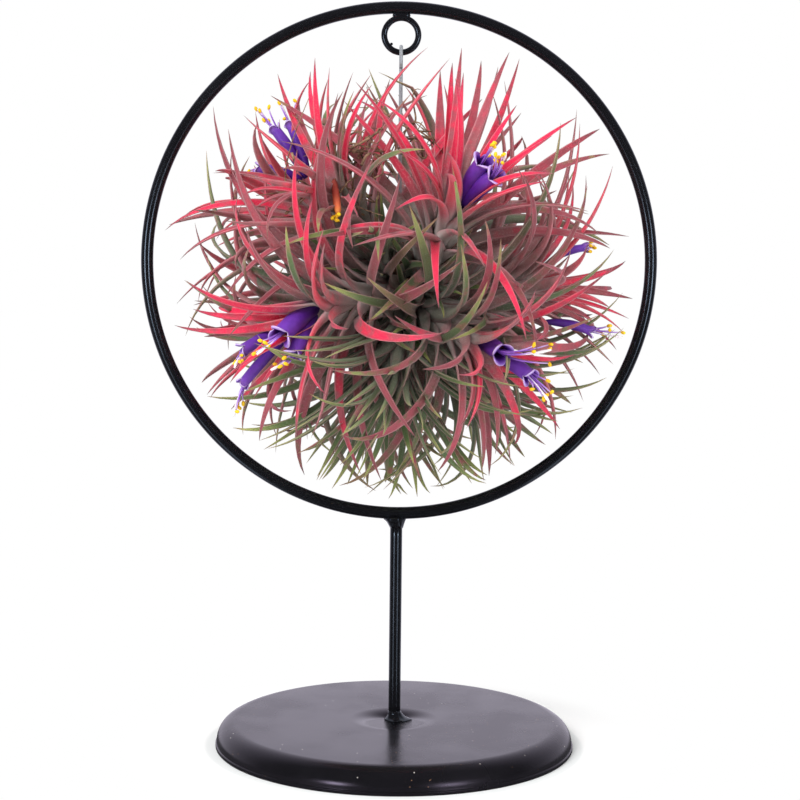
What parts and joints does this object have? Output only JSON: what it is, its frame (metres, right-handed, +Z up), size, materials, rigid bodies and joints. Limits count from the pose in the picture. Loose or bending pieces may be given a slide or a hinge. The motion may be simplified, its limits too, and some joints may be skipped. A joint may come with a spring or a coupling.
{
  "type": "air plant holder",
  "caption": "Free-standing ring holder on a round pressed base, with a small ring inside its top from which a wire hook carries a ball of flowering air plants.",
  "frame": {"origin": "on the table under the centre of the round base, in line with the stem", "axes": "+Z up along the stem; the big ring stands in the XZ plane, +X to its right and -Y to its front, seen as in the picture"},
  "size_m": [0.168, 0.1354, 0.2428],
  "materials": {
    "black_paint": "satin",
    "galvanised_wire": "satin",
    "root_wood": "matte",
    "leaf_red": "satin",
    "leaf_green": "satin",
    "petal_violet": "satin",
    "petal_dried": "matte"
  },
  "bodies": {
    "stand": {"base_plate": "black_paint", "stem": "black_paint", "ring": "black_paint", "eye_loop": "black_paint", "base_weld": "black_paint", "ring_weld": "black_paint", "eye_weld": "black_paint"},
    "hanger": {"hanging_wire": "galvanised_wire"},
    "plant_ball": {"root_core": "root_wood", "left_front_plant": "leaf_red", "upper_left_front_plant": "leaf_green", "upper_right_front_plant": "leaf_red", "right_front_plant": "leaf_red", "lower_front_plant": "leaf_green", "right_plant": "leaf_red", "upper_left_back_plant": "leaf_red", "left_back_plant": "leaf_green", "lower_right_back_plant": "leaf_green", "upper_back_plant": "leaf_green", "right_back_plant": "leaf_green", "back_plant": "leaf_red", "lower_left_back_plant": "leaf_green", "left_front_flowers": "petal_violet", "right_front_flowers": "petal_violet", "upper_right_front_flowers": "petal_violet", "right_flowers": "petal_violet", "upper_left_back_flowers": "petal_violet", "dried_flower": "petal_dried"}
  },
  "joints": [
    {"name": "hook_swing", "type": "hinge", "parent": "stand", "child": "hanger", "pos_m": [0, 0, 0.2265], "axis": [1, 0, 0], "range_deg": [-45, 45]},
    {"name": "plant_turn", "type": "hinge", "parent": "hanger", "child": "plant_ball", "pos_m": [0, 0, 0.1506], "axis": [0, 0, 1], "continuous": true}
  ]
}
